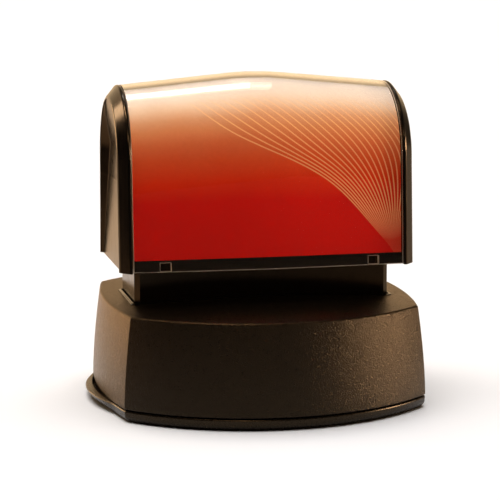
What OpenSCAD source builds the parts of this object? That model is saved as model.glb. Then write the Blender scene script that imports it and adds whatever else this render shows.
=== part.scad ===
// Round pre-inked hand stamp, 45 mm impression: dust cap, base housing, sprung plunger
// with die cassette, and a handle whose clear cover holds a label card.
// Millimetres, +Z up. The origin is the middle of the dust cap's bottom face.
// X runs along the handle's length and -Y is the front.

/* [Base housing] */
// Radius of the front and back wall arcs at the bottom
base_front_r = 41.2; // [40:0.1:43]
// Radius of the left and right wall arcs at the bottom
base_side_r = 104.75; // [104:0.05:106]
// How far the walls lean in from bottom to top
wall_draft = 1.65; // [1:0.05:2.2]
// Height of the wall's top edge
wall_top = 20.7; // [20:0.1:21.5]
// Rise of the roof facets for each millimetre inwards
roof_slope = 0.035; // [0.01:0.005:0.06]
// Wall thickness
wall = 2.0; // [1.6:0.1:2.2]

/* [Dust cap] */
// Height of the cap's rim
cap_h = 2.4; // [2:0.1:2.6]
// Thickness of the cap's floor
cap_floor = 1.2; // [1:0.1:1.6]
// Distance from the middle to the tip of a finger tab
tab_reach = 35.0; // [34:0.1:36]

/* [Plunger] */
// Stroke of the handle from rest to full press
stroke = 4.6; // [3:0.1:4.7]
// Length of the neck between its end faces
neck_l = 52.4; // [50:0.1:53]
// Depth of the neck from front to back
neck_d = 18; // [16:0.1:19]
// Chamfer on the neck's four upright edges
neck_chamfer = 1.0; // [0.6:0.1:1.4]

/* [Handle] */
// Height of the handle's underside
handle_z = 28.2; // [27.5:0.1:29]
// Length over the two cheeks
handle_l = 60; // [59:0.1:61]
// Thickness of a cheek
cheek_t = 2.4; // [2.2:0.05:3]
// Radius of the arch over the top of a cheek
arch_r = 14.8; // [14:0.1:15.5]
// Height of the arch's centre
arch_z = 49.35; // [48:0.05:51]
// Half depth of the handle at its underside
arch_foot = 16.1; // [15.5:0.1:17]
// Half of the rise of the cover's crest above the cheeks
crest_swell = 1.15; // [0.8:0.05:1.4]
// Thickness of the clear cover
cover_t = 1.2; // [0.8:0.1:1.3]

/* [Die] */
// Radius of the text plate's raised face
die_face_r = 23; // [22:0.1:23.5]
// Height of the text plate's face at rest
die_face_z = 7.0; // [6.8:0.1:7.4]

/* [Hidden] */

// Clearances
seam = 0.2;            // between the cap's rim and the housing
slip = 0.3;            // round the neck in its slot
skin_gap = 0.1;        // between fixed neighbours
thread_gap = 0.02;     // round a screw in its pilot hole
eps = 0.01;

// Base housing: every wall is part of a drum that stands on its own upright axis
base_z = cap_h + seam;
front_axis = 5.9;
side_axis = 72;
wall_steps = 6;
front_steps = 20;
side_steps = 10;
roof_insets = [4, 9, 15, 25];
draft_power = 1.6;
rim_profile = [[0.9, 0], [0.3, 0.3], [0, 0.9], [0, cap_h]];
rib_gap = 0.15;
rib_t = 1.2;
rib_h = 2.2;
tab_r = 47;

// Slot collar: a lip that lines the roof's slot and a flange under the roof
lip_t = 0.5;
lip_rise = 0.15;
flange_z = 16.9;
flange_w = 1.5;

// Inner frame: guide ring with two spring beams and four screw lugs
guide_r = 26.5;
guide_t = 1.5;
guide_z = 3.6;
guide_top = 13.8;
beam_x = 16;
beam_w = 7;
beam_h = 2.0;
beam_top = guide_top + beam_h;
lug_x = 25.5;
lug_y = 17.5;
lug_r = 2.8;
lug_t = 2.0;
lug_z = 11.8;
boss_r = 2.7;
post_r = 1.9;
post_h = 2.5;

// Screws
screw_r = 1.1;
head_r = 2.0;
head_h = 1.4;

// Neck
neck_wall = 1.6;
neck_top_t = 1.5;
neck_foot_l = 48;
neck_shoulder_z = 19;
holder_top = 13.5;
neck_foot_z = holder_top + skin_gap;
window_w = 8;
window_top = beam_top + stroke + slip;
column_x = 8;
column_r = 2.5;
neck_screw_x = 20;
neck_screw_y = 4.5;
neck_roof_z = handle_z - neck_top_t;

// Springs
spring_r = 2.75;
wire_r = 0.35;
spring_turns = 6.5;
spring_low = beam_top + wire_r;
spring_high = neck_roof_z - wire_r - 0.05;
spring_steps = 130;
wire_sides = 8;

// Handle
inner_half = handle_l / 2 - cheek_t - 0.25;
plate_t = 1.8;
core_inset = cover_t + 0.5;
core_wall = 2.0;
core_end_t = 3.0;
core_z = handle_z + plate_t;
card_t = 0.3;
card_z = 30.6;
cover_z = handle_z + 0.2;
bevel_x = 1.9;
bevel_r = 2.3;
arch_steps = 24;
crest_half = 3;
peg_r = 1.6;
peg_spots = [[-8, 36], [8, 36], [0, 54]];
peg_l = 3.2;
clip_x = 21.1;
clip_w = 2.2;
clip_h = 1.7;
clip_z = handle_z + 0.3;
grip_depth = 0.9;
grip_half = 12.4;
grip_top = 52.4;
grip_line_z = 45.1;

// Die cassette
holder_r = 25.2;
holder_flange_r = 26.0;
holder_t = 2.0;
foam_r = 24.2;
foam_top = holder_top - holder_t - skin_gap;
foam_low = die_face_z + 2.05;
plate_flange_z = die_face_z + 1.45;
ring_low = die_face_z + 0.7;
ring_t = 0.65;
ring_collar_h = 2.5;

// ---------- shared shapes ----------

function lean(z) = wall_draft * pow(max(0, z - base_z) / (wall_top - base_z), draft_power);

// Corner where a front arc of radius a meets a right-hand arc of radius b
function corner(a, b) =
    let (p = (b * b - a * a - side_axis * side_axis + front_axis * front_axis) / (2 * side_axis),
         q = front_axis / side_axis,
         m = p * q + front_axis,
         y = (m - sqrt(m * m - (1 + q * q) * (p * p + front_axis * front_axis - a * a))) / (1 + q * q))
    [p - q * y, y];

// Half width of the right-hand side at depth y, with the dust cap's finger tab if it stands proud
function side_reach(b, y, tab) =
    max(sqrt(b * b - y * y) - side_axis, tab > 0 ? sqrt(tab * tab - y * y) - (tab_r - tab_reach) : 0);

// Closed outline of four bowed sides at height z, seen from above
function plan_ring(inset, z, tab = 0) =
    let (a = base_front_r - inset, b = base_side_r - inset, c = corner(a, b), half = asin(c[0] / a),
         front = [for (i = [0:front_steps - 1]) let (t = half * (2 * i / front_steps - 1))
             [a * sin(t), front_axis - a * cos(t), z]],
         side = [for (i = [0:side_steps - 1]) let (y = c[1] * (1 - 2 * i / side_steps))
             [side_reach(b, y, tab), y, z]])
    concat(front, side, [for (p = front) [-p[0], -p[1], z]], [for (p = side) [-p[0], -p[1], z]]);

// Solid through a stack of rings that all have the same number of points
module loft(rings) {
    n = len(rings[0]);
    last = len(rings) - 1;
    quads = [for (i = [0:last - 1]) for (k = [0:n - 1]) [i * n + k, i * n + (k + 1) % n]];
    polyhedron(
        points = [for (ring = rings) for (p = ring) p],
        faces = concat(
            [[for (k = [0:n - 1]) k]],
            [for (q = quads) [q[0], q[1] + n, q[1]]],
            [for (q = quads) [q[0], q[0] + n, q[1] + n]],
            [[for (k = [n - 1:-1:0]) last * n + k]]));
}

// Block with the base's four leaning walls under a shallow hip roof
module base_envelope(inset, z_low, z_high) {
    walls = [for (i = [0:wall_steps]) let (z = z_low + (z_high - z_low) * i / wall_steps)
        plan_ring(inset + lean(z), z)];
    roof = [for (d = roof_insets) plan_ring(inset + lean(z_high) + d, z_high + roof_slope * d)];
    loft(concat(walls, roof));
}

// Neck outline: a rectangle with chamfered corners
module neck_outline(length, depth, chamfer) {
    x = length / 2;
    y = depth / 2;
    polygon([[-x, -y + chamfer], [-x + chamfer, -y], [x - chamfer, -y], [x, -y + chamfer],
             [x, y - chamfer], [x - chamfer, y], [-x + chamfer, y], [-x, y - chamfer]]);
}

// Upright prism that stands out from the neck by a margin
module slot_prism(margin) {
    translate([0, 0, 10])
        linear_extrude(20)
            neck_outline(neck_l + 2 * margin, neck_d + 2 * margin, neck_chamfer);
}

// Arch outline at x in depth and height: a round top on two legs that spread to the foot
function arch_ring(x, inset, swell) =
    let (r = arch_r - inset + swell, foot = arch_foot - inset + swell, rise = arch_z + swell - handle_z,
         turn = acos(r / sqrt(foot * foot + rise * rise)) - atan2(rise, foot))
    concat([[x, foot, handle_z]],
           [for (i = [0:arch_steps]) let (t = turn + (180 - 2 * turn) * i / arch_steps)
               [x, r * cos(t), arch_z + swell + r * sin(t)]],
           [[x, -foot, handle_z]]);

// Arch body between the cheeks, highest along the middle of its length
module gabled_arch(half, inset) {
    loft([arch_ring(-half, inset, 0), arch_ring(-crest_half, inset, crest_swell),
          arch_ring(crest_half, inset, crest_swell), arch_ring(half, inset, 0)]);
}

// Everything above a height
module above(z) {
    translate([-50, -50, z]) cube([100, 100, 100]);
}

// Pan-head screw standing on its head, with the thread upwards
module screw(z, length) {
    translate([0, 0, z - head_h]) cylinder(r = head_r, h = head_h, $fn = 32);
    translate([0, 0, z - eps]) cylinder(r = screw_r, h = length, $fn = 24);
}

// ---------- dust cap ----------

module dust_cap() color([0.09, 0.08, 0.08]) {
    difference() {
        union() {
            loft([for (step = rim_profile) plan_ring(step[0], step[1], tab_r - step[0])]);
            base_envelope(wall + rib_gap, cap_h - 0.2, cap_h + rib_h);
        }
        base_envelope(wall + rib_gap + rib_t, cap_floor, cap_h + rib_h + 1);
    }
}

// ---------- base ----------

module base_housing() color([0.13, 0.12, 0.11]) {
    difference() {
        union() {
            difference() {
                base_envelope(0, base_z, wall_top);
                base_envelope(wall, base_z - 1, wall_top - wall);
            }
            intersection() {
                for (sx = [-1, 1], sy = [-1, 1])
                    translate([sx * lug_x, sy * lug_y, lug_z + lug_t + skin_gap])
                        cylinder(r = boss_r, h = 10, $fn = 32);
                base_envelope(wall / 2, base_z, wall_top - wall / 2);
            }
        }
        slot_prism(slip + lip_t + skin_gap / 2);
        for (sx = [-1, 1], sy = [-1, 1])
            translate([sx * lug_x, sy * lug_y, 10])
                cylinder(r = screw_r + thread_gap, h = 8.5, $fn = 24);
    }
}

module slot_collar() color([0.06, 0.055, 0.05]) {
    difference() {
        union() {
            intersection() {
                slot_prism(slip + lip_t);
                translate([0, 0, lip_rise]) base_envelope(wall / 2, flange_z, wall_top);
            }
            intersection() {
                slot_prism(slip + flange_w);
                base_envelope(wall + skin_gap, flange_z, wall_top - wall - skin_gap);
            }
        }
        slot_prism(slip);
    }
}

module inner_frame() color([0.2, 0.2, 0.21]) {
    difference() {
        union() {
            translate([0, 0, guide_z]) cylinder(r = guide_r + guide_t, h = guide_top - guide_z, $fn = 96);
            intersection() {
                translate([0, 0, lug_z]) cylinder(r = guide_r + guide_t, h = beam_top - lug_z, $fn = 96);
                for (sx = [-1, 1])
                    translate([sx * beam_x - beam_w / 2, -40, 0]) cube([beam_w, 80, 40]);
            }
            for (sx = [-1, 1], sy = [-1, 1]) {
                translate([sx * lug_x, sy * lug_y, lug_z]) cylinder(r = lug_r, h = lug_t, $fn = 32);
                rotate([0, 0, atan2(sy * lug_y, sx * lug_x)])
                    translate([guide_r + guide_t / 2, -lug_r, lug_z]) cube([3.5, 2 * lug_r, lug_t]);
            }
        }
        translate([0, 0, guide_z - 1]) cylinder(r = guide_r, h = guide_top - guide_z + 1, $fn = 96);
        for (sx = [-1, 1], sy = [-1, 1])
            translate([sx * lug_x, sy * lug_y, 0]) cylinder(r = screw_r + skin_gap, h = 30, $fn = 24);
    }
    for (sx = [-1, 1])
        translate([sx * beam_x, 0, beam_top - eps]) cylinder(r = post_r, h = post_h, $fn = 32);
}

module frame_screws() color([0.7, 0.7, 0.72]) {
    for (sx = [-1, 1], sy = [-1, 1])
        translate([sx * lug_x, sy * lug_y, 0]) screw(lug_z, 6.2);
}

// ---------- springs ----------

// Closed end coils, open coils between them
function coil_z(t) =
    let (ends = 0.14, soft = min(max((t - ends) / (1 - 2 * ends), 0), 1), closed = 2.2 * wire_r)
    t < ends ? spring_low + closed * t / ends :
    t > 1 - ends ? spring_high - closed * (1 - t) / ends :
    spring_low + closed + (spring_high - spring_low - 2 * closed) * soft;

module coil_spring() {
    rings = [for (i = [0:spring_steps])
        let (t = i / spring_steps, a = 360 * spring_turns * t)
        [for (k = [0:wire_sides - 1])
            let (b = 360 * k / wire_sides, r = spring_r + wire_r * cos(b))
            [r * cos(a), r * sin(a), coil_z(t) + wire_r * sin(b)]]];
    last = spring_steps * wire_sides;
    polyhedron(
        points = [for (ring = rings) for (p = ring) p],
        faces = concat(
            [[for (k = [0:wire_sides - 1]) k]],
            [for (i = [0:spring_steps - 1]) for (k = [0:wire_sides - 1])
                let (a = i * wire_sides + k, b = i * wire_sides + (k + 1) % wire_sides)
                [a, a + wire_sides, b + wire_sides, b]],
            [[for (k = [wire_sides - 1:-1:0]) last + k]]));
}

module left_spring() color([0.75, 0.76, 0.78]) translate([-beam_x, 0, 0]) coil_spring();

module right_spring() color([0.75, 0.76, 0.78]) translate([beam_x, 0, 0]) coil_spring();

// ---------- plunger ----------

module neck() color([0.05, 0.05, 0.05]) {
    difference() {
        union() {
            translate([0, 0, neck_shoulder_z])
                linear_extrude(handle_z - neck_shoulder_z) neck_outline(neck_l, neck_d, neck_chamfer);
            translate([-neck_foot_l / 2, -neck_d / 2, neck_foot_z])
                cube([neck_foot_l, neck_d, neck_shoulder_z - neck_foot_z + eps]);
        }
        translate([-neck_foot_l / 2 + neck_wall, -neck_d / 2 + neck_wall, neck_foot_z - 1])
            cube([neck_foot_l - 2 * neck_wall, neck_d - 2 * neck_wall, neck_roof_z - neck_foot_z + 1]);
        for (sx = [-1, 1])
            translate([sx * beam_x - window_w / 2, -neck_d, neck_foot_z - 1])
                cube([window_w, 2 * neck_d, window_top - neck_foot_z + 1]);
        for (sx = [-1, 1], sy = [-1, 1])
            translate([sx * neck_screw_x, sy * neck_screw_y, neck_roof_z - 1])
                cylinder(r = screw_r + skin_gap, h = 5, $fn = 24);
    }
    difference() {
        for (sx = [-1, 1])
            translate([sx * column_x, 0, neck_foot_z])
                cylinder(r = column_r, h = neck_roof_z - neck_foot_z + eps, $fn = 32);
        for (sx = [-1, 1])
            translate([sx * column_x, 0, neck_foot_z - 1])
                cylinder(r = screw_r + thread_gap, h = 10, $fn = 24);
    }
    for (sx = [-1, 1])
        translate([sx * beam_x, 0, neck_roof_z - 2])
            cylinder(r = post_r, h = 2 + eps, $fn = 32);
}

module neck_screws() color([0.7, 0.7, 0.72]) {
    for (sx = [-1, 1], sy = [-1, 1])
        translate([sx * neck_screw_x, sy * neck_screw_y, 0]) screw(neck_roof_z, 8);
}

module handle_plate() color([0.06, 0.05, 0.05]) {
    difference() {
        intersection() {
            gabled_arch(inner_half, core_inset - 0.4);
            translate([-40, -40, handle_z]) cube([80, 80, plate_t]);
        }
        for (sx = [-1, 1], sy = [-1, 1])
            translate([sx * neck_screw_x, sy * neck_screw_y, handle_z - 1])
                cylinder(r = screw_r + skin_gap, h = 5, $fn = 24);
    }
}

// Hollow arch; a web across it at each end carries two screw posts
module handle_core() color([0.1, 0.09, 0.09]) {
    bore = arch_foot - core_inset - core_wall;
    difference() {
        intersection() {
            gabled_arch(inner_half, core_inset);
            above(core_z);
        }
        difference() {
            intersection() {
                gabled_arch(inner_half - core_end_t, core_inset + core_wall);
                above(core_z - 1);
            }
            for (sx = [-1, 1], sy = [-1, 1])
                translate([sx * neck_screw_x, sy * neck_screw_y, core_z - 2]) cylinder(r = 2.6, h = 8, $fn = 32);
            for (sx = [-1, 1])
                translate([sx * neck_screw_x - 0.8, -30, core_z - 2]) cube([1.6, 60, 8]);
        }
        for (sx = [-1, 1], sy = [-1, 1])
            translate([sx * neck_screw_x, sy * neck_screw_y, core_z - 1])
                cylinder(r = screw_r + thread_gap, h = 6.5, $fn = 24);
        translate([-40, 0, 44]) rotate([0, 90, 0]) cylinder(r = bore * 0.5, h = 80, $fn = 48);
        for (spot = peg_spots)
            translate([-40, spot[0], spot[1]]) rotate([0, 90, 0]) cylinder(r = peg_r + skin_gap, h = 80, $fn = 32);
    }
}

// Scooped grip: a pointed arch that opens at the underside
module grip_outline() {
    side = [for (i = [0:8]) let (t = i / 8) [grip_half * cos(90 * t), handle_z - 1 + (grip_top - handle_z + 1) * t]];
    polygon(concat(side, [for (i = [7:-1:0]) [-side[i][0], side[i][1]]]));
}

// Right-hand cheek; the left one is its mirror image
module cheek() {
    outer = handle_l / 2;
    difference() {
        loft([arch_ring(outer - cheek_t, 0, 0), arch_ring(outer - bevel_x, 0, 0), arch_ring(outer, bevel_r, 0)]);
        translate([outer - grip_depth, 0, 0])
            rotate([90, 0, 90])
                linear_extrude(5) grip_outline();
        translate([outer - grip_depth - 0.25, -grip_half * 0.6, grip_line_z - 0.15])
            cube([1, grip_half * 1.2, 0.3]);
    }
    for (spot = peg_spots)
        translate([outer - cheek_t - peg_l, spot[0], spot[1]])
            rotate([0, 90, 0]) cylinder(r = peg_r, h = peg_l + 0.1, $fn = 32);
}

module right_cheek() color([0.06, 0.05, 0.05]) cheek();

module left_cheek() color([0.06, 0.05, 0.05]) mirror([1, 0, 0]) cheek();

module label_card() color([0.8, 0.2, 0.08]) {
    difference() {
        intersection() {
            gabled_arch(inner_half - 0.2, core_inset - skin_gap - card_t);
            above(card_z);
        }
        gabled_arch(inner_half + 1, core_inset - skin_gap);
    }
}

module window_cover() color([0.85, 0.87, 0.9, 0.35]) {
    difference() {
        intersection() {
            gabled_arch(inner_half, 0);
            above(cover_z);
        }
        gabled_arch(inner_half + 1, cover_t);
        for (sx = [-1, 1])
            translate([sx * clip_x - clip_w / 2, -40, clip_z]) cube([clip_w, 80, clip_h]);
    }
}

// ---------- die cassette ----------

module die_holder() color([0.25, 0.25, 0.26]) {
    skirt_low = plate_flange_z - 0.05;
    difference() {
        union() {
            translate([0, 0, skirt_low]) cylinder(r = holder_r, h = holder_top - skirt_low, $fn = 96);
            translate([0, 0, holder_top - 0.9]) cylinder(r = holder_flange_r, h = 0.9, $fn = 96);
        }
        translate([0, 0, skirt_low - 1])
            cylinder(r = foam_r + 0.2, h = holder_top - holder_t - skirt_low + 1, $fn = 96);
        for (sx = [-1, 1])
            translate([sx * column_x, 0, 0]) {
                cylinder(r = screw_r + skin_gap, h = 20, $fn = 24);
                cylinder(r = head_r + skin_gap, h = holder_top - 0.5, $fn = 32);
            }
    }
}

module holder_screws() color([0.7, 0.7, 0.72]) {
    for (sx = [-1, 1])
        translate([sx * column_x, 0, 0]) screw(holder_top - 0.5 - skin_gap / 2, 8);
}

module ink_reservoir() color([0.12, 0.12, 0.2]) {
    translate([0, 0, foam_low]) cylinder(r = foam_r, h = foam_top - foam_low, $fn = 96);
}

module text_plate() color([0.55, 0.56, 0.6]) {
    translate([0, 0, die_face_z]) cylinder(r = die_face_r, h = 2, $fn = 96);
    translate([0, 0, plate_flange_z]) cylinder(r = foam_r, h = 0.55, $fn = 96);
}

module retaining_ring() color([0.15, 0.15, 0.16]) {
    rotate_extrude($fn = 120)
        polygon([[die_face_r + 0.15, ring_low], [holder_flange_r, ring_low],
                 [holder_flange_r, ring_low + ring_collar_h], [holder_r + skin_gap, ring_low + ring_collar_h],
                 [holder_r + skin_gap, ring_low + ring_t], [die_face_r + 0.15, ring_low + ring_t]]);
}

dust_cap();
base_housing();
slot_collar();
inner_frame();
frame_screws();
left_spring();
right_spring();
neck();
neck_screws();
handle_plate();
handle_core();
left_cheek();
right_cheek();
label_card();
die_holder();
holder_screws();
ink_reservoir();
text_plate();
retaining_ring();
window_cover();
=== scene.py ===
"""Looks of the pre-inked hand stamp: moulded shells, clear cover, printed card, springs and screws,
with their finishes, the studio and the camera. Shapes are in millimetres, in the part's frame."""
import math

import bmesh
import bpy
from mathutils import Matrix, Vector


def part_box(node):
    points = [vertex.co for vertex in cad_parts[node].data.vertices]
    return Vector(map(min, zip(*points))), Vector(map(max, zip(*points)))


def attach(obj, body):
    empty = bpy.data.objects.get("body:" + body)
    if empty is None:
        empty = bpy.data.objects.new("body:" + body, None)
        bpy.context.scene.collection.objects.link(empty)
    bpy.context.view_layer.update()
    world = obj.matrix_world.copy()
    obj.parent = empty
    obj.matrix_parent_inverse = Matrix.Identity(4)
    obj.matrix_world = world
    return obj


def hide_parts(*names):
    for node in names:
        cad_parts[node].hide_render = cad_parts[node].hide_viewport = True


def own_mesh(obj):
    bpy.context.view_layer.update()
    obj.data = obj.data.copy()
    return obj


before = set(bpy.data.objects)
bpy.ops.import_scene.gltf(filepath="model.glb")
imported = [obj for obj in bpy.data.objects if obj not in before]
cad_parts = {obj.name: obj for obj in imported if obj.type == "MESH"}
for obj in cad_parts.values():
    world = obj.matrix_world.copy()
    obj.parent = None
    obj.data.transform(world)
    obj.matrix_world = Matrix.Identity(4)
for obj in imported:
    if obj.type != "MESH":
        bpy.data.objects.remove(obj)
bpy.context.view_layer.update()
scene = bpy.context.scene
MM = 0.001
WELD_GAP = 1e-7


def box_mm(node):
    """Lowest and highest corner of a CAD node in millimetres."""
    low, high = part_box(node)
    return low / MM, high / MM


base_low, base_high = box_mm("base_housing")
_, cap_high = box_mm("dust_cap")
_, neck_high = box_mm("neck")
cheek_low, cheek_high = box_mm("right_cheek")
cover_low, cover_high = box_mm("window_cover")
card_low, card_high = box_mm("label_card")

# Base plan: each side is an arc, struck from an upright axis inside the base
FRONT_R = 41.2
SIDE_R = 104.75
front_axis = FRONT_R - base_high.y
side_axis = SIDE_R - base_high.x
FRONT_STEPS = 84
SIDE_STEPS = 44
CORNER_STEPS = 6
OUTER_CORNER = 0.45
INNER_CORNER = 0.7

# Base housing
WALL = 2.0
WALL_DRAFT = 1.65
DRAFT_POWER = 1.6
WALL_TOP = 20.7
FOOT_END = 4
EDGE_START = 18.6
ROOF_SLOPE = 0.035
ROOF_REACH = 25
wall_low = base_low.z

# Dust cap
CAP_RIM = 2.4
CAP_FLOOR = 1.2
TAB_R = 34
TAB_HALF = 21
TAB_SOFTNESS = 0.3
TAB_TOP = 2.15
GROOVE = 1.1
RIB_GAP = 0.15
RIB_T = 1.2

# Neck and its collar
NECK_CHAMFER = 1.0
NECK_STEPS = 26
SLIP = 0.3
LIP = 0.5
LIP_RISE = 0.15

# Handle arch: a round top on two legs that spread to the foot
ARCH_R = 14.8
arch_z = cheek_high.z - ARCH_R
arch_foot = cheek_high.y
handle_z = cheek_low.z
CREST_HALF = 3
CREST_SOFTNESS = 1.2
crest_swell = (cover_high.z - cheek_high.z) / 2
inner_half = cover_high.x
COVER_T = 1.2
CARD_INSET = 1.3
CARD_T = 0.3

# Clip windows in the cover's feet, and how high and how large the faces of its rims are
CLIP_X = 21.1
CLIP_W = 2.2
CLIP_H = 1.7
clip_low = handle_z + 0.3
RIM_HEIGHT = 3
RIM_AREA = 1.6

# Print on the card
PRINT_SCALE = 100.0
SHADE_RUN = 44.0
FAN_LINES = 18
FAN_X = 25.6
FAN_UP = 0.3

# Cheeks
cheek_out = cheek_high.x
cheek_in = inner_half + 0.25
BEVEL_X = 1.9
BEVEL_R = 2.3
GRIP_FOOT = 0.6
GRIP_LEAN = 0.0615
GRIP_RISE = 0.215
GRIP_LINE = 45.1
PEG_SPOTS = ((-8, 36), (8, 36), (0, 54))
# Wall of the grip scoop: distance in from the rim and depth, as shares of the scoop's depth
SCOOP_WALL = ((0.1, 0.04), (0.25, 0.17), (0.8, 0.86), (1.0, 0.97), (1.15, 1.0))

# Springs
WIRE_R = 0.35
TURNS = 6.5
WIRE_SIDES = 14
STEPS_PER_TURN = 48
CLOSED_SHARE = 0.14
CLOSED_RISE = 2.2 * WIRE_R

# Screws
CORE_R = 0.85
CREST_R = 1.1
PITCH = 0.6
THREAD_SIDES = 28
ROWS_PER_PITCH = 8
LUG_X = 25.5
LUG_Y = 17.5
LUG_Z = 11.8
LUG_SCREW = 6.2
NECK_SCREW_X = 20
NECK_SCREW_Y = 4.5
NECK_SCREW_Z = 26.7
HOLDER_SCREW_X = 8
HOLDER_SCREW_Z = 13
LONG_SCREW = 8

# Studio, in metres
FLOOR_HALF = 6
WARM = (1.0, 0.72, 0.46)
DEEP_WARM = (1.0, 0.62, 0.3)
PALE_WARM = (1.0, 0.96, 0.93)
CREAM = (1.0, 0.93, 0.86)
CAMERA_TURN = math.radians(-12.12)
CAMERA_RISE = math.radians(8.49)
CAMERA_ROLL = math.radians(-0.109)
CAMERA_DISTANCE = 0.41018
CAMERA_AIM = Vector((0, 0, 0.0324))


# ---------- mesh tools ----------

def blend(a, b, t):
    """The number at share t of the way from a to b."""
    return a + (b - a) * t


def soft_max(a, b, softness):
    """The larger of two numbers, with a smooth change from one to the other."""
    d = a - b
    return b + (d + math.sqrt(d * d + softness * softness)) / 2


def rounded(points, radii, steps=5):
    """Open path through 2D points, with its inner points turned into arcs of the given radii."""
    path = [points[0]]
    for before, point, after, radius in zip(points, points[1:], points[2:], radii):
        a = Vector(before) - Vector(point)
        b = Vector(after) - Vector(point)
        half = a.angle(b) / 2
        reach = min(radius / math.tan(half), a.length * 0.49, b.length * 0.49)
        radius = reach * math.tan(half)
        a.normalize()
        b.normalize()
        centre = Vector(point) + (a + b).normalized() * math.hypot(reach, radius)
        start = Vector(point) + a * reach - centre
        end = Vector(point) + b * reach - centre
        turn = start.angle_signed(end)
        for i in range(steps + 1):
            path.append(tuple(centre + Matrix.Rotation(-turn * i / steps, 2) @ start))
    path.append(points[-1])
    return path


def loft(rings, ends=True):
    """Skin through rings that all have the same number of points."""
    n = len(rings[0])
    verts = [p for ring in rings for p in ring]
    faces = []
    for i in range(len(rings) - 1):
        for k in range(n):
            m = (k + 1) % n
            faces.append((i * n + k, i * n + m, (i + 1) * n + m, (i + 1) * n + k))
    if ends:
        faces.append(tuple(reversed(range(n))))
        faces.append(tuple(range(len(verts) - n, len(verts))))
    return verts, faces


def revolve(profile, steps):
    """Solid of revolution about the Z axis from (radius, z) points, each off the axis."""
    turns = [2 * math.pi * k / steps for k in range(steps)]
    return loft([[(r * math.cos(t), r * math.sin(t), z) for t in turns] for r, z in profile])


def shell(us, vs, point, outer, inner, keep=lambda u, v: True):
    """Sheet with thickness over a grid; cells that keep() refuses are left open, with walls round them."""
    nu, nv = len(us), len(vs)
    verts = [point(u, v, inset) for inset in (outer, inner) for u in us for v in vs]
    kept = {(i, j) for i in range(nu - 1) for j in range(nv - 1)
            if keep((us[i] + us[i + 1]) / 2, (vs[j] + vs[j + 1]) / 2)}
    layer = nu * nv
    faces = []
    for i, j in sorted(kept):
        loop = [(i, j), (i + 1, j), (i + 1, j + 1), (i, j + 1)]
        ids = [a * nv + b for a, b in loop]
        faces.append(tuple(ids))
        faces.append(tuple(layer + k for k in reversed(ids)))
        for side, (di, dj) in enumerate([(0, -1), (1, 0), (0, 1), (-1, 0)]):
            if (i + di, j + dj) not in kept:
                a, b = ids[side], ids[(side + 1) % 4]
                faces.append((b, a, a + layer, b + layer))
    return verts, faces


def merged(*parts):
    """One list of vertices and faces from several."""
    verts, faces = [], []
    for part_verts, part_faces in parts:
        start = len(verts)
        verts += part_verts
        faces += [tuple(start + k for k in face) for face in part_faces]
    return verts, faces


def crease(mesh, angle=32):
    """Shades the mesh smooth, with sharp edges where it bends more than the angle."""
    bm = bmesh.new()
    bm.from_mesh(mesh)
    bmesh.ops.remove_doubles(bm, verts=bm.verts, dist=WELD_GAP)
    bmesh.ops.recalc_face_normals(bm, faces=bm.faces)
    for face in bm.faces:
        face.smooth = True
    for edge in bm.edges:
        edge.smooth = len(edge.link_faces) == 2 and edge.calc_face_angle(0) < math.radians(angle)
    bm.to_mesh(mesh)
    bm.free()


def new_object(name, shape):
    """Object from vertices in millimetres and faces."""
    verts, faces = shape
    mesh = bpy.data.meshes.new(name)
    mesh.from_pydata([tuple(c * MM for c in v) for v in verts], [], faces)
    obj = bpy.data.objects.new(name, mesh)
    scene.collection.objects.link(obj)
    return obj


def settle(obj):
    """Applies the object's modifiers to its mesh."""
    bpy.context.view_layer.update()
    done = bpy.data.meshes.new_from_object(obj.evaluated_get(bpy.context.evaluated_depsgraph_get()))
    obj.modifiers.clear()
    obj.data = done


def carve(obj, shape):
    """Cuts a closed shape out of an object."""
    cutter = new_object("cutter", shape)
    crease(cutter.data)
    crease(obj.data)
    cut = obj.modifiers.new("cut", "BOOLEAN")
    cut.object = cutter
    cut.operation = "DIFFERENCE"
    cut.solver = "EXACT"
    settle(obj)
    bpy.data.objects.remove(cutter)


def soften(obj, width, angle=40, segments=3):
    """Rounds the edges that are sharper than the angle."""
    bevel = obj.modifiers.new("soft edges", "BEVEL")
    bevel.width = width * MM
    bevel.segments = segments
    bevel.limit_method = "ANGLE"
    bevel.angle_limit = math.radians(angle)
    bevel.use_clamp_overlap = True
    bevel.harden_normals = False


def even_normals(obj):
    """Lets the large faces set the shading, so that they look flat beside rounded edges."""
    weigh = obj.modifiers.new("even normals", "WEIGHTED_NORMAL")
    weigh.keep_sharp = True
    weigh.weight = 60


def finish_piece(obj, body, look, stands_for=(), angle=32):
    """Shades a piece, gives it its material and tells the frame what it is."""
    crease(obj.data, angle)
    even_normals(obj)
    obj.data.materials.clear()
    obj.data.materials.append(look)
    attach(obj, body)
    if stands_for:
        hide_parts(*stands_for)
    return obj


# ---------- base plan ----------

def corner(a, b):
    """Where a front arc of radius a meets a right-hand arc of radius b."""
    p = (b * b - a * a - side_axis ** 2 + front_axis ** 2) / (2 * side_axis)
    q = front_axis / side_axis
    m = p * q + front_axis
    y = (m - math.sqrt(m * m - (1 + q * q) * (p * p + front_axis ** 2 - a * a))) / (1 + q * q)
    return p - q * y, y


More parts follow.
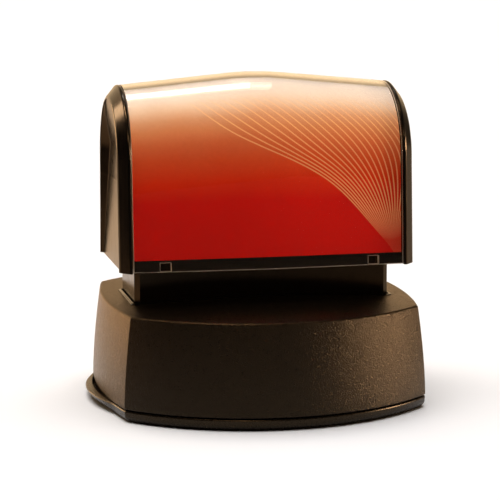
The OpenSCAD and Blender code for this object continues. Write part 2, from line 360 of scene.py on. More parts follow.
def plan_outline(inset, radius):
    """Closed outline of the four bowed sides with rounded corners, anticlockwise from the front left."""
    a, b = FRONT_R - inset, SIDE_R - inset
    x, y = corner(a - radius, b - radius)
    front = math.atan2(x, front_axis - y)
    side = math.atan2(-y, x + side_axis)
    half = []
    for i in range(FRONT_STEPS + 1):
        t = front * (2 * i / FRONT_STEPS - 1)
        half.append((a * math.sin(t), front_axis - a * math.cos(t)))
    for i in range(1, CORNER_STEPS):
        t = blend(front - math.pi / 2, -side, i / CORNER_STEPS)
        half.append((x + radius * math.cos(t), y + radius * math.sin(t)))
    for i in range(SIDE_STEPS + 1):
        t = side * (2 * i / SIDE_STEPS - 1)
        half.append((b * math.cos(t) - side_axis, b * math.sin(t)))
    for i in range(1, CORNER_STEPS):
        t = blend(side, math.pi / 2 - front, i / CORNER_STEPS)
        half.append((x + radius * math.cos(t), radius * math.sin(t) - y))
    return half + [(-px, -py) for px, py in half]


def lean(z):
    """How far the housing's walls have come in at height z."""
    return WALL_DRAFT * (max(0, z - wall_low) / (WALL_TOP - wall_low)) ** DRAFT_POWER


def roof_z(x, y):
    """Height of the hip roof over a point."""
    front = FRONT_R - math.hypot(x, abs(y) + front_axis)
    side = SIDE_R - math.hypot(abs(x) + side_axis, y)
    return WALL_TOP + ROOF_SLOPE * max(0, min(front, side) - WALL_DRAFT)


def neck_outline(margin):
    """The neck's chamfered rectangle moved out by a margin, with its edges divided."""
    x, y = neck_high.x + margin, neck_high.y + margin
    c = NECK_CHAMFER
    points = [(-x, -y + c), (-x + c, -y), (x - c, -y), (x, -y + c)]
    points += [(-a, -b) for a, b in points]
    outline = []
    for k, (a, b) in enumerate(zip(points, points[1:] + points[:1])):
        count = NECK_STEPS if k % 2 else 2
        outline += [(blend(a[0], b[0], i / count), blend(a[1], b[1], i / count)) for i in range(count)]
    return outline


# ---------- base ----------

def base_housing():
    """Hollow shell: hip roof, leaning walls, rounded edge and foot, and the neck's slot cut out."""
    outside = [(ROOF_REACH + WALL_DRAFT, WALL_TOP + ROOF_SLOPE * ROOF_REACH)]
    for d in (21, 17, 13, 10, 7, 5, 3.4, 2.2, 1.2):
        outside.append((d + WALL_DRAFT, WALL_TOP + ROOF_SLOPE * d))
    edge = rounded([outside[-1], (WALL_DRAFT, WALL_TOP), (lean(EDGE_START), EDGE_START)], [0.5], 6)
    wall = [(lean(z), z) for z in (18, 16.5, 15, 13, 11, 9, 7, 5)]
    foot = rounded([(lean(FOOT_END), FOOT_END), (0, wall_low),
                    (WALL, wall_low), (WALL + lean(FOOT_END), FOOT_END)], [0.22, 0.2], 4)
    inner_top = WALL_TOP - WALL
    ceiling = rounded([(WALL + lean(17), 17), (WALL + lean(inner_top), inner_top),
                       (WALL + lean(inner_top) + 6, inner_top + ROOF_SLOPE * 6)], [0.8], 4)
    inside = [(WALL + lean(z), z) for z in (6, 9, 12, 15)]
    far = [(ROOF_REACH, inner_top + ROOF_SLOPE * (ROOF_REACH - WALL))]
    rings = []
    for inset, z in outside[:-1] + edge[:-1] + wall + foot:
        rings.append([(x, y, z) for x, y in plan_outline(inset, OUTER_CORNER)])
    for inset, z in inside + ceiling + far:
        rings.append([(x, y, z) for x, y in plan_outline(inset, INNER_CORNER)])
    shape = new_object("housing_shell", loft(rings))
    slot = neck_outline(SLIP + LIP + 0.05)
    carve(shape, loft([[(x, y, z) for x, y in slot] for z in (10, 30)]))
    return finish_piece(shape, "base", grained_plastic(), ["base_housing"])


def slot_collar():
    """Lip round the neck's slot that follows the roof, with a flange under the roof."""
    low, _ = box_mm("slot_collar")
    top = rounded([(SLIP, low.z), (SLIP, 0), (SLIP + LIP, 0), (SLIP + LIP, -3)], [0.14, 0.14], 4)
    rings = []
    for margin, z in top[:-1]:
        outline = neck_outline(margin)
        rings.append([(x, y, z if z > 1 else roof_z(x, y) + LIP_RISE + z) for x, y in outline])
    flange = WALL_TOP - WALL - 0.15
    for margin, z in [(SLIP + LIP, flange), (SLIP + 1.5, flange), (SLIP + 1.5, low.z)]:
        rings.append([(x, y, z) for x, y in neck_outline(margin)])
    rings.append(rings[0])
    shape = new_object("slot_collar_lip", loft(rings, ends=False))
    return finish_piece(shape, "base", polished_plastic(), ["slot_collar"])


# ---------- dust cap ----------

def side_x(y, inset):
    """Half width of the base plan at depth y."""
    return math.sqrt((SIDE_R - inset) ** 2 - y * y) - side_axis


def tab_bulge(y):
    """How far the finger tab stands out from the side at depth y."""
    reach = math.sqrt(TAB_R ** 2 - min(abs(y), 30) ** 2) - (TAB_R - cap_high.x)
    return soft_max(reach - side_x(y, 0), 0, TAB_SOFTNESS)


def cap_ring(inset, z, share=1.0, dip=0.0):
    """The cap's outline at an inset, with a share of the finger tabs' bulge and a dip at the tabs."""
    full = tab_bulge(0)
    ring = []
    for x, y in plan_outline(inset, max(OUTER_CORNER - inset, 0.3)):
        on_side = abs(x) > side_x(y, inset) - 0.05 and abs(y) < TAB_HALF
        bulge = tab_bulge(y) if on_side else 0
        reach = min(abs(x) + bulge * share, cap_high.x)
        ring.append((math.copysign(reach, x), y, z - dip * min(1, bulge / full * 1.6)))
    return ring


def tab_share(z):
    """The tab swells from nothing at the foot to its full reach near the rim."""
    return math.sin(math.pi / 2 * min(1, z / TAB_TOP)) ** 1.15


def dust_cap():
    """Tray with a rounded rim, a groove behind each finger tab and a rib that fits inside the housing."""
    rim = rounded([(3, 0), (0.95, 0), (0.16, 0.95), (0, CAP_RIM), (1.2, CAP_RIM)], [0.6, 1.5, 0.4], 6)
    # One more ring under the tray
    rim.insert(1, (2, 0))
    rings = [cap_ring(inset, z, tab_share(z)) for inset, z in rim[:-1]]
    # Over the rim, with a step down into the groove behind the tabs
    lip = CAP_RIM
    rings += [cap_ring(0.42, lip, 0.93), cap_ring(0.47, lip, 0.8), cap_ring(0.52, lip, 0.56, 0.02)]
    rings += [cap_ring(0.54, lip, 0.5, 0.14), cap_ring(0.56, lip, 0.48, GROOVE)]
    rings += [cap_ring(0.62, lip, 0.1, GROOVE), cap_ring(1.2, lip, 0, GROOVE), cap_ring(1.3, lip, 0)]
    rib = WALL + RIB_GAP
    rib_profile = rounded([(rib - 0.6, lip), (rib, lip),
                           (rib, cap_high.z), (rib + RIB_T, cap_high.z),
                           (rib + RIB_T, CAP_FLOOR), (rib + 6, CAP_FLOOR)], [0.1, 0.3, 0.3, 0.5], 4)
    rings += [cap_ring(inset + (lean(z) if z > lip + 0.1 else 0), z, 0) for inset, z in rib_profile]
    rings += [cap_ring(inset, CAP_FLOOR, 0) for inset in (14, 22)]
    shape = new_object("cap_tray", loft(rings))
    return finish_piece(shape, "dust_cap", cap_plastic(), ["dust_cap"])


# ---------- handle ----------

def swell(x):
    """Rise of the arch between the cheeks: two straight slopes that meet in a soft crest."""
    slope = crest_swell / (inner_half - CREST_HALF)
    return crest_swell - soft_max(slope * (abs(x) - CREST_HALF), 0, slope * CREST_SOFTNESS)


def arch_point(x, w, inset, rise=0.0):
    """Point on the arch. w is 0 to 1 up the front leg, 1 to 2 over the top, 2 to 3 down the back leg."""
    r, foot, centre = ARCH_R - inset + rise, arch_foot - inset + rise, arch_z + rise
    up = centre - handle_z
    turn = math.acos(r / math.hypot(foot, up)) - math.atan2(up, foot)
    near = w if w <= 1.5 else 3 - w
    if near <= 1:
        y = blend(foot, r * math.cos(turn), near)
        z = blend(handle_z, centre + r * math.sin(turn), near)
    else:
        angle = turn + (near - 1) * (math.pi - 2 * turn)
        y, z = r * math.cos(angle), centre + r * math.sin(angle)
    return x, (-y if w <= 1.5 else y), z


def leg_share(z):
    """The w at which the front leg reaches height z."""
    return (z - handle_z) / (arch_point(0, 1, 0)[2] - handle_z)


def steps(start, end, count):
    """Evenly spaced numbers from start to end."""
    return [blend(start, end, i / count) for i in range(count + 1)]


def over_the_arch(foot_stations, arc_count):
    """Stations from the front foot over the top to the back foot, the same on both legs."""
    return foot_stations + steps(1, 2, arc_count)[1:-1] + [3 - w for w in reversed(foot_stations)]


def swollen_arch(x, w, inset):
    """Point on the arch with the rise of its crest."""
    return arch_point(x, w, inset, swell(x))


def window_cover():
    """Clear cover over the arch, with two clip windows in each foot."""
    xs = sorted(set(steps(-inner_half, inner_half, 60)[1:-1]
                    + [side * (CLIP_X + half * CLIP_W / 2) for side in (-1, 1) for half in (-1, 1)]
                    + [-inner_half, inner_half, -inner_half + 0.6, inner_half - 0.6]))
    feet = [leg_share(z) for z in (cover_low.z, clip_low, clip_low + CLIP_H, 31)]
    feet += steps(leg_share(33), 1, 8)

    def keep(x, w):
        """False inside the clip windows."""
        in_height = leg_share(clip_low) < min(w, 3 - w) < leg_share(clip_low + CLIP_H)
        return not (in_height and abs(abs(x) - CLIP_X) < CLIP_W / 2)

    sheet = shell(xs, over_the_arch(feet, 56), swollen_arch, 0, COVER_T, keep)
    shape = new_object("clear_cover", sheet)
    crease(shape.data)
    mark_rims(shape.data)
    soften(shape, 0.22)
    shape.visible_shadow = False
    return finish_piece(shape, "cover", clear_plastic(), ["window_cover"])


def soft_ramp(v, start, width):
    """Zero before the start, then a slope of one, with a smooth change between them."""
    return width * math.log(1 + math.exp((v - start) / width))


def fan_reach(t, v):
    """How far left of its foot the fan's line t stands at height v. t runs from 0, the steepest, to 1."""
    steep = soft_ramp(v, 21, 2.5) - 0.19 * v
    middle = 0.95 * soft_ramp(v, 17.5, 4) + 0.25 * v
    low = 7.5 * (1 + math.tanh((v - 20) / 5)) + 0.8 * v
    return steep * (1 - t) * (1 - 2 * t) + 4 * middle * t * (1 - t) + low * t * (2 * t - 1)


def fan_value(x, s):
    """The fan's line number at a point of the card, and the distance between neighbouring lines there."""
    u, v = FAN_X - x, max(0.15, s - FAN_UP)
    low, high = -0.5, 1.3
    for _ in range(24):
        t = (low + high) / 2
        if fan_reach(t, v) < u:
            low = t
        else:
            high = t
    across = (fan_reach(t + 0.01, v) - fan_reach(t - 0.01, v)) / 0.02 / FAN_LINES
    slope = (fan_reach(t, v + 0.1) - fan_reach(t, v - 0.1)) / 0.2
    return t * FAN_LINES, across / math.hypot(1, slope)


def mark_rims(mesh):
    """Marks the faces that close the cover's ends, feet and clip windows, which are a little frosted and
    tinted dark brown as painted shade.
    """
    rim = mesh.attributes.new("rim", "FLOAT", "FACE")
    for face in mesh.polygons:
        ends = abs(face.normal.x) > 0.9
        foot = face.center.z < (handle_z + RIM_HEIGHT) * MM and abs(face.normal.y) < 0.5
        narrow = face.area < RIM_AREA * MM * MM
        rim.data[face.index].value = 1.0 if ends or (foot and narrow) else 0.0


def label_card():
    """Bent card. Its points carry their place on the flat card and their place in the fan of curves."""
    xs = steps(-card_high.x, card_high.x, 90)
    ws = over_the_arch(steps(leg_share(card_low.z), 1, 32), 76)
    shape = new_object("printed_card", shell(xs, ws, swollen_arch, CARD_INSET, CARD_INSET + CARD_T))
    mesh = shape.data
    along = [0]
    middle = [Vector(swollen_arch(0, w, CARD_INSET)) for w in ws]
    for before, point in zip(middle, middle[1:]):
        along.append(along[-1] + (point - before).length)
    run = along[-1]
    place = mesh.uv_layers.new(name="card")
    fan = mesh.uv_layers.new(name="fan")
    values = []
    for x in xs:
        for s in along:
            # The back leg carries the front's print turned round
            line_and_gap = fan_value(x, s) if s < run / 2 else fan_value(-x, run - s)
            values.append(((0.5 + x / PRINT_SCALE, s / PRINT_SCALE), line_and_gap))
    for loop in mesh.loops:
        place.data[loop.index].uv, fan.data[loop.index].uv = values[loop.vertex_index % len(values)]
    return finish_piece(shape, "plunger", printed_card(run), ["label_card"])


def grip_depth(z):
    """Depth of the grip scoop: its floor leans inward up to the grip's top, then curves out to the rim."""
    top = cheek_high.z - BEVEL_R
    inward = GRIP_FOOT + GRIP_LEAN * (z - handle_z)
    outward = max(0, GRIP_RISE * (top - z))
    depth = -soft_max(-inward, -outward, 0.12)
    return max(0, depth) + (0.1 if abs(z - GRIP_LINE) < 0.15 else 0)


def cheek_shape():
    """Right-hand cheek: rounded bevel, steep walls into the grip scoop, and the scoop's leaning floor."""
    feet = sorted(steps(0, 1, 12) + [leg_share(GRIP_LINE + d) for d in (-0.2, -0.1, 0.1, 0.2)])
    ws = over_the_arch(feet, 72)

    def outline(inset):
        """The arch as (y, z) points, moved in by an inset."""
        return [arch_point(0, w, inset)[1:] for w in ws]

    profile = rounded([(cheek_in, 1.5), (cheek_in, 0), (cheek_out - BEVEL_X, 0), (cheek_out, BEVEL_R),
                       (cheek_out, BEVEL_R + 1)], [0.2, 2.2, 1.3], 7)
    rings = [[(x, y, z) for y, z in outline(inset)] for x, inset in profile[:-1]]
    edge = outline(BEVEL_R + 0.2)
    rings.append([(cheek_out, y, z) for y, z in edge])
    for out, sunk in SCOOP_WALL:
        ring = []
        for w, (y, z) in zip(ws, edge):
            _, inner_y, inner_z = arch_point(0, w, BEVEL_R + 0.2 + out * grip_depth(z))
            ring.append((cheek_out - sunk * grip_depth(z), inner_y, inner_z))
        rings.append(ring)
    count = len(ws)
    verts = [p for ring in rings for p in ring]
    faces = []
    for i in range(len(rings) - 1):
        for k in range(count - 1):
            a, b = i * count + k, (i + 1) * count + k
            faces.append((a, a + 1, b + 1, b))
    # The scoop's floor: strips from the front of the innermost ring to its back
    last = (len(rings) - 1) * count
    for k in range(count // 2):
        a, b = last + k, last + count - 1 - k
        faces.append((a, a + 1, b - 1, b) if b - a > 2 else (a, a + 1, b))
    # The inner face, then the underside: one piece behind the scoop's floor and one under each leg
    faces.append(tuple(range(count)))
    front_feet = [i * count for i in range(len(rings))]
    back_feet = [i * count + count - 1 for i in range(len(rings))]
    faces += [tuple(front_feet), tuple(reversed(back_feet))]
    faces.append((front_feet[0], front_feet[-1], back_feet[-1], back_feet[0]))
    return verts, faces


def cheek(name, side, node):
    """The cheek on side 1 or -1, with three pegs on its inner face."""
    verts, faces = cheek_shape()
    pegs = []
    for y, z in PEG_SPOTS:
        peg_verts, peg_faces = revolve([(0.3, 0), (1.3, 0), (1.6, 0.3), (1.6, 3.4), (0.3, 3.4)], 32)
        pegs.append(([(cheek_in - 3.2 + b, y + a, z + c) for a, c, b in peg_verts], peg_faces))
    verts, faces = merged((verts, faces), *pegs)
    shape = new_object(name, ([(x * side, y, z) for x, y, z in verts], faces))
    crease(shape.data)
    soften(shape, 0.14, angle=58)
    return finish_piece(shape, "plunger", polished_plastic(), [node])


# ---------- springs and screws ----------

def coil_spring(name, node):
    """Coil spring with closed ends, as tall as its CAD node."""
    low, high = box_mm(node)
    radius = (high.x - low.x) / 2 - WIRE_R
    middle = (low + high) / 2
    bottom, top = low.z + WIRE_R, high.z - WIRE_R
    count = int(TURNS * STEPS_PER_TURN)
    rings = []
    for i in range(count + 1):
        t = i / count
        if t < CLOSED_SHARE:
            z = bottom + CLOSED_RISE * t / CLOSED_SHARE
        elif t > 1 - CLOSED_SHARE:
            z = top - CLOSED_RISE * (1 - t) / CLOSED_SHARE
        else:
            z = blend(bottom + CLOSED_RISE, top - CLOSED_RISE, (t - CLOSED_SHARE) / (1 - 2 * CLOSED_SHARE))
        a = 2 * math.pi * TURNS * t
        ring = []
        for k in range(WIRE_SIDES):
            b = 2 * math.pi * k / WIRE_SIDES
            r = radius + WIRE_R * math.cos(b)
            ring.append((middle.x + r * math.cos(a), middle.y + r * math.sin(a), z + WIRE_R * math.sin(b)))
        rings.append(ring)
    shape = new_object(name, loft(rings))
    finish_piece(shape, "base", steel("spring wire", 0.22), [node])
    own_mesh(shape)
    return shape


def screw_head(x, y, z):
    """Pan head that hangs under z."""
    profile = [(0.2, -1.4)] + rounded([(0.2, -1.4), (2, -1.4), (2, 0)], [0.9], 6)[1:] + [(0.2, 0)]
    verts, faces = revolve(profile, 40)
    return [(x + a, y + b, z + c) for a, b, c in verts], faces


def screw_thread(x, y, foot, length):
    """Rolled thread that rises from foot, full at the head and fading into the point."""
    rows = int(length / PITCH * ROWS_PER_PITCH)
    rings = []
    for i in range(rows + 1):
        z = length * i / rows - 0.05
        left = length - z
        fade = min(1, left / 1.2) * min(1, max(0, (z - 0.3) / 0.4))
        ring = []
        for k in range(THREAD_SIDES):
            t = k / THREAD_SIDES
            wave = 1 - abs(2 * ((z / PITCH - t) % 1) - 1)
            r = CORE_R * (0.6 + 0.4 * min(1, left / 0.8 + 0.2)) + (CREST_R - CORE_R) * fade * wave ** 1.5
            ring.append((x + r * math.cos(2 * math.pi * t), y + r * math.sin(2 * math.pi * t), foot + z))
        rings.append(ring)
    return loft(rings)


def screws(name, node, body, places, foot, length):
    """A group of equal screws, each with a cross cut into its head."""
    shape = new_object(name, merged(*[screw_head(x, y, foot) for x, y in places]))
    for x, y in places:
        for w, d in ((1.25, 0.3), (0.3, 1.25)):
            arm = [(-w, -d), (w, -d), (w, d), (-w, d)]
            carve(shape, loft([[(x + a * s, y + b * s, foot + z) for a, b in arm]
                               for z, s in ((-2.0, 1.0), (-1.3, 1.0), (-0.5, 0.55))]))
    # The threads join after the cutting, which would lose them where they overlap the heads
    threads = new_object(name + "_threads", merged(*[screw_thread(x, y, foot, length) for x, y in places]))
    both = bmesh.new()
    both.from_mesh(shape.data)
    both.from_mesh(threads.data)
    both.to_mesh(shape.data)
    both.free()
    bpy.data.objects.remove(threads)
    return finish_piece(shape, body, steel("zinc plated steel", 0.3), [node])


# ---------- die ----------

def text_plate():
    """Foam die with a plain double border ring for a face."""
    low, high = box_mm("text_plate")
    face, field, flange, top = low.z, low.z + 0.35, low.z + 1.45, high.z
    rim = high.x
    inner_ring = [(18.8, field), (18.9, face + 0.03), (19.4, face + 0.03), (19.5, field)]
    outer_ring = [(21.3, field), (21.4, face), (22.85, face), (23.0, face + 0.15), (23.0, flange)]
    edge = [(rim, flange), (rim, flange + 0.5), (23.2, flange + 0.55), (23.0, top)]
    profile = [(0.2, field)] + inner_ring + outer_ring + edge + [(0.2, top)]
    shape = new_object("stamp_die", revolve(profile, 144))
    look = foam("stamp foam", (0.2, 0.21, 0.25), 2600)
    return finish_piece(shape, "plunger", look, ["text_plate"])


# ---------- materials ----------

class Nodes:
    """Short calls that add nodes to a node tree."""

    def __init__(self, tree):
        self.tree = tree

    def node(self, kind, **values):
        """Adds a node and sets its properties."""
        made = self.tree.nodes.new(kind)
        for key, value in values.items():
            setattr(made, key, value)
        return made

    def feed(self, socket, value):
        """Links a value from another node to an input, or sets the input to a plain value."""
        if isinstance(value, bpy.types.NodeSocket):
            self.tree.links.new(value, socket)
        elif value is not None:
            socket.default_value = value

    def place(self):
        """Coordinates in the object's own frame, in metres."""
        return self.node("ShaderNodeTexCoord").outputs["Object"]

    def noise(self, scale, detail=3.0, rough=0.5, vector=None):
        """Noise between 0 and 1, finer with a larger scale."""
        made = self.node("ShaderNodeTexNoise")
        self.feed(made.inputs["Vector"], vector or self.place())
        self.feed(made.inputs["Scale"], scale)
        self.feed(made.inputs["Detail"], detail)
        self.feed(made.inputs["Roughness"], rough)
        return made.outputs["Fac"]

    def cells(self, scale):
        """Distance to the nearest of many scattered points."""
        made = self.node("ShaderNodeTexVoronoi")
        self.feed(made.inputs["Vector"], self.place())
        self.feed(made.inputs["Scale"], scale)
        return made.outputs["Distance"]

    def split(self, vector):
        """The X, Y and Z of a vector."""
        made = self.node("ShaderNodeSeparateXYZ")
        self.feed(made.inputs[0], vector)
        return made.outputs

    def math(self, operation, a, b=None, c=None):
        """Result of a sum on up to three values."""
        made = self.node("ShaderNodeMath", operation=operation)
        for socket, value in zip(made.inputs, (a, b, c)):
            self.feed(socket, value)
        return made.outputs[0]

    def spread(self, value, low, high, to_low=0.0, to_high=1.0):
        """Maps low and high to new limits, and holds the value between those."""
        made = self.node("ShaderNodeMapRange")
        names = ("Value", "From Min", "From Max", "To Min", "To Max")
        for name, number in zip(names, (value, low, high, to_low, to_high)):
            self.feed(made.inputs[name], number)
        return made.outputs["Result"]

    def mix(self, share, a, b):
        """Blend of two colours: a at share 0, b at share 1."""
        made = self.node("ShaderNodeMix", data_type="RGBA")
        self.feed(made.inputs["Factor"], share)
        self.feed(made.inputs[6], a)
        self.feed(made.inputs[7], b)
        return made.outputs[2]

    def ramp(self, value, stops):
        """Colour at a value between stops of (position, colour)."""
        made = self.node("ShaderNodeValToRGB")
        elements = made.color_ramp.elements
        while len(elements) < len(stops):
            elements.new(1.0)
        for element, (position, colour) in zip(elements, stops):
            element.position = position
            element.color = colour
        self.feed(made.inputs["Fac"], value)
        return made.outputs["Color"]

    def bump(self, height, strength, distance, after=None):
        """Surface direction that makes the height look raised, on top of an earlier bump if given."""
        made = self.node("ShaderNodeBump")
        self.feed(made.inputs["Height"], height)
        self.feed(made.inputs["Strength"], strength)
        self.feed(made.inputs["Distance"], distance)
        if after is not None:
            self.feed(made.inputs["Normal"], after)
        return made.outputs["Normal"]


class Look(Nodes):
    """A material under construction: a Principled shader and the nodes that feed it."""

    def __init__(self, name):
        self.material = bpy.data.materials.new(name)
        self.material.use_nodes = True
        super().__init__(self.material.node_tree)
        self.shader = self.tree.nodes["Principled BSDF"]

    def set(self, **values):
        """Feeds the shader's inputs. An underscore in a name stands for a space."""
        for key, value in values.items():
            self.feed(self.shader.inputs[key.replace("_", " ")], value)


WARM_SHEEN = (1.0, 0.72, 0.45, 1)
looks = {}


def once(make):
    """Makes a look the first time it is asked for, and hands out the same one after that."""
    def give(*values):
        key = (make.__name__, values)
        if key not in looks:
            looks[key] = make(*values)
        return looks[key]
    return give


@once
def grained_plastic():
    """Satin black housing plastic with a fine spark-eroded grain."""
    look = Look("grained black plastic")
    grain = look.noise(4500, 1.0, 0.5)
    coarse = look.noise(900, 3.0)
    tone = look.noise(60, 3.0)
    fine_rough = look.spread(grain, 0.3, 0.7, 0.26, 0.38)
    patches = look.spread(coarse, 0.3, 0.7, -0.03, 0.03)
    look.set(Base_Color=look.mix(tone, (0.0015, 0.001, 0.0007, 1), (0.0035, 0.0025, 0.0017, 1)),
             Roughness=look.math("ADD", fine_rough, patches),
             Normal=look.bump(grain, 1.0, 0.00012, look.bump(coarse, 0.1, 0.00005)),
             IOR=1.5, Metallic=0.35, Specular_IOR_Level=0.4, Specular_Tint=WARM_SHEEN)
    return look.material


@once
def cap_plastic():
    """Smoother black plastic with a faint mould texture."""
    look = Look("smooth black cap plastic")
    tone = look.noise(45, 4.0)
    grain = look.noise(2400, 2.0)
    look.set(Base_Color=look.mix(tone, (0.003, 0.0022, 0.0015, 1), (0.005, 0.0036, 0.0026, 1)),
             Roughness=look.spread(grain, 0.3, 0.7, 0.24, 0.33),
             Normal=look.bump(grain, 0.08, 0.00002),
             IOR=1.5, Specular_IOR_Level=0.3, Specular_Tint=WARM_SHEEN)
    return look.material


@once
def polished_plastic():
    """High-gloss black plastic with slight moulding waves and hairline scuffs."""
    look = Look("polished black plastic")
    waves = look.noise(70, 2.0)
    stretched = look.node("ShaderNodeMapping")
    look.feed(stretched.inputs["Vector"], look.place())
    stretched.inputs["Scale"].default_value = (1.0, 1.0, 0.12)
    stretched.inputs["Rotation"].default_value = (0.3, 0.2, 0.0)
    scuffs = look.noise(1500, 4.0, 0.7, stretched.outputs["Vector"])
    look.set(Base_Color=look.mix(waves, (0.002, 0.0016, 0.0014, 1), (0.004, 0.003, 0.0025, 1)),
             Roughness=look.spread(scuffs, 0.45, 0.8, 0.17, 0.28),
             Normal=look.bump(waves, 0.12, 0.0002),
             IOR=1.5, Specular_IOR_Level=0.4, Specular_Tint=WARM_SHEEN)
    return look.material


@once
def frame_plastic():
    """Plain dark grey moulding for the parts inside."""
    look = Look("grey moulded plastic")
    tone = look.noise(80, 3.0)
    grain = look.noise(1800, 3.0)
    look.set(Base_Color=look.mix(tone, (0.06, 0.061, 0.064, 1), (0.085, 0.086, 0.09, 1)),
             Roughness=look.spread(grain, 0.3, 0.7, 0.42, 0.56),
             Normal=look.bump(grain, 0.2, 0.00005))
    return look.material


@once
def clear_plastic():
    """Clear cover with a trace of haze and faint wipe marks, and painted shade on its rim faces."""
    look = Look("clear cover plastic")
    wipes = look.noise(260, 4.0, 0.65)
    rim = look.node("ShaderNodeAttribute", attribute_name="rim").outputs["Fac"]
    haze = look.math("ADD", look.spread(wipes, 0.5, 0.9, 0.0, 0.05), look.math("MULTIPLY", rim, 0.3))
    # Rim faces get a dark brown tint and less transmission: painted shade that dims their bright edges
    look.set(Base_Color=look.mix(rim, (0.985, 0.985, 0.98, 1), (0.3, 0.24, 0.2, 1)), Roughness=haze,
             Normal=look.bump(look.noise(40, 1.0), 0.04, 0.0002),
             Transmission_Weight=look.math("SUBTRACT", 1.0, look.math("MULTIPLY", rim, 0.12)), IOR=1.47)
    return look.material


def printed_card(length):
    """Card printed from cream at the crest to red at the foot, with a fan of fine pale curves."""
    look = Look("printed card")
    place = look.split(look.node("ShaderNodeUVMap", uv_map="card").outputs["UV"])
    along = look.math("MULTIPLY", place["Y"], PRINT_SCALE)
    # Height up the card from the nearer foot
    up = look.math("SUBTRACT", length / 2, look.math("ABSOLUTE", look.math("SUBTRACT", along, length / 2)))
    fibre = look.noise(2200, 3.0)
    drift = look.math("ADD", up, look.spread(look.noise(120, 2.0), 0.3, 0.7, -0.35, 0.35))
    shade = look.ramp(look.math("DIVIDE", drift, SHADE_RUN), [
        (0.0, (0.45, 0.002, 0.0003, 1)), (0.26, (0.5, 0.003, 0.0005, 1)), (0.35, (0.56, 0.022, 0.003, 1)),
        (0.45, (0.57, 0.07, 0.02, 1)), (0.53, (0.54, 0.13, 0.048, 1)), (0.6, (0.51, 0.205, 0.095, 1)),
        (0.65, (0.51, 0.275, 0.165, 1)), (0.7, (0.54, 0.4, 0.3, 1)), (0.76, (0.56, 0.5, 0.46, 1)),
        (0.85, (0.56, 0.54, 0.54, 1)), (1.0, (0.56, 0.54, 0.54, 1))])
    lines = look.split(look.node("ShaderNodeUVMap", uv_map="fan").outputs["UV"])
    number, gap = lines["X"], lines["Y"]
    off = look.math("ABSOLUTE", look.math("SUBTRACT", number, look.math("ROUND", number)))
    line = look.spread(look.math("MULTIPLY", off, gap), 0.07, 0.18, 1.0, 0.0)
    inside = look.math("LESS_THAN", number, FAN_LINES + 0.5)
    inside = look.math("MULTIPLY", inside, look.spread(gap, 0.12, 0.45, 0.1, 1.0))
    fade = look.spread(up, 27.0, 34.0, 0.66, 0.0)
    strength = look.math("MULTIPLY", look.math("MULTIPLY", line, inside), fade)
    ink = look.mix(strength, shade, (0.8, 0.47, 0.22, 1))
    darker = look.mix(0.5, ink, (0, 0, 0, 1))
    look.set(Base_Color=look.mix(look.spread(fibre, 0.35, 0.65, 0.0, 0.12), ink, darker),
             Roughness=look.spread(fibre, 0.3, 0.7, 0.4, 0.52), Normal=look.bump(fibre, 0.06, 0.00003),
             Specular_IOR_Level=0.06)
    return look.material


@once
def steel(name, roughness):
    """Bright steel with a slightly uneven finish."""
    look = Look(name)
    tone = look.noise(500, 3.0)
    look.set(Base_Color=look.mix(tone, (0.52, 0.52, 0.54, 1), (0.66, 0.66, 0.67, 1)),
             Roughness=look.spread(tone, 0.3, 0.7, roughness - 0.05, roughness + 0.1),
             Normal=look.bump(look.noise(3000, 2.0), 0.1, 0.00003), Metallic=1.0)
    return look.material


@once
def foam(name, colour, pores):
    """Open foam with fine pores, darkened inside with painted shade."""
    look = Look(name)
    cells = look.cells(pores)
    tint = look.noise(150, 3.0)
    # Painted shade: the colour darkens towards the middle of each pore, where the bump sinks
    dark = tuple(c * 0.55 for c in colour)
    look.set(Base_Color=look.mix(look.spread(cells, 0.0, 0.6), (*dark, 1), (*colour, 1)),
             Roughness=look.spread(tint, 0.3, 0.7, 0.75, 0.92), Normal=look.bump(cells, 0.6, 0.00012))
    return look.material


def dress_node(node, look, edge=0.12):
    """Gives a carried-over CAD node its material, with softened edges."""
    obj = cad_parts[node]
    obj.data.materials.clear()
    obj.data.materials.append(look)
    for face in obj.data.polygons:
        face.use_smooth = True
    weld = obj.modifiers.new("weld", "WELD")
    weld.merge_threshold = 0.002 * MM
    if edge:
        soften(obj, edge, angle=38, segments=2)
    even_normals(obj)


# ---------- build ----------

base_housing()
slot_collar()
dust_cap()
window_cover()
label_card()
cheek("cheek_left", -1, "left_cheek")
cheek("cheek_right", 1, "right_cheek")
coil_spring("return_spring_left", "left_spring")
coil_spring("return_spring_right", "right_spring")
text_plate()

dress_node("neck", polished_plastic(), 0.14)
dress_node("handle_plate", polished_plastic(), 0.15)
dress_node("handle_core", polished_plastic(), 0.15)
dress_node("inner_frame", frame_plastic(), 0.15)
dress_node("die_holder", frame_plastic(), 0.15)
dress_node("retaining_ring", frame_plastic(), 0.1)
dress_node("ink_reservoir", foam("ink foam", (0.02, 0.02, 0.06), 1800), 0.15)

signs = [(a, b) for a in (-1, 1) for b in (-1, 1)]
lug_places = [(LUG_X * a, LUG_Y * b) for a, b in signs]
neck_places = [(NECK_SCREW_X * a, NECK_SCREW_Y * b) for a, b in signs]
holder_places = [(-HOLDER_SCREW_X, 0), (HOLDER_SCREW_X, 0)]
screws("frame_screw_set", "frame_screws", "base", lug_places, LUG_Z, LUG_SCREW)
screws("neck_screw_set", "neck_screws", "plunger", neck_places, NECK_SCREW_Z, LONG_SCREW)
screws("holder_screw_set", "holder_screws", "plunger", holder_places, HOLDER_SCREW_Z, LONG_SCREW)


# ---------- studio ----------

